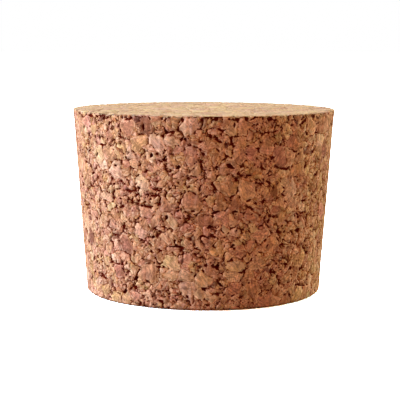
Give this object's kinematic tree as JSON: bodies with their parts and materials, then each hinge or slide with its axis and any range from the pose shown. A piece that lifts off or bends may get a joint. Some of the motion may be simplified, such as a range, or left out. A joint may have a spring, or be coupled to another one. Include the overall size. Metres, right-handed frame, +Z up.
{
  "type": "cork stopper",
  "caption": "Tapered round stopper of agglomerated cork granules, ground to a smooth cone with small open voids, that closes a jar or bottle mouth.",
  "frame": {"origin": "centre of the lower, narrower face, which the stopper stands on", "axes": "+Z up along the stopper's axis towards the wider face; the side seen in the picture faces -Y"},
  "size_m": [0.05, 0.05, 0.035],
  "materials": {
    "cork": "matte"
  },
  "bodies": {
    "root": {"stopper_body": "cork"}
  },
  "joints": []
}
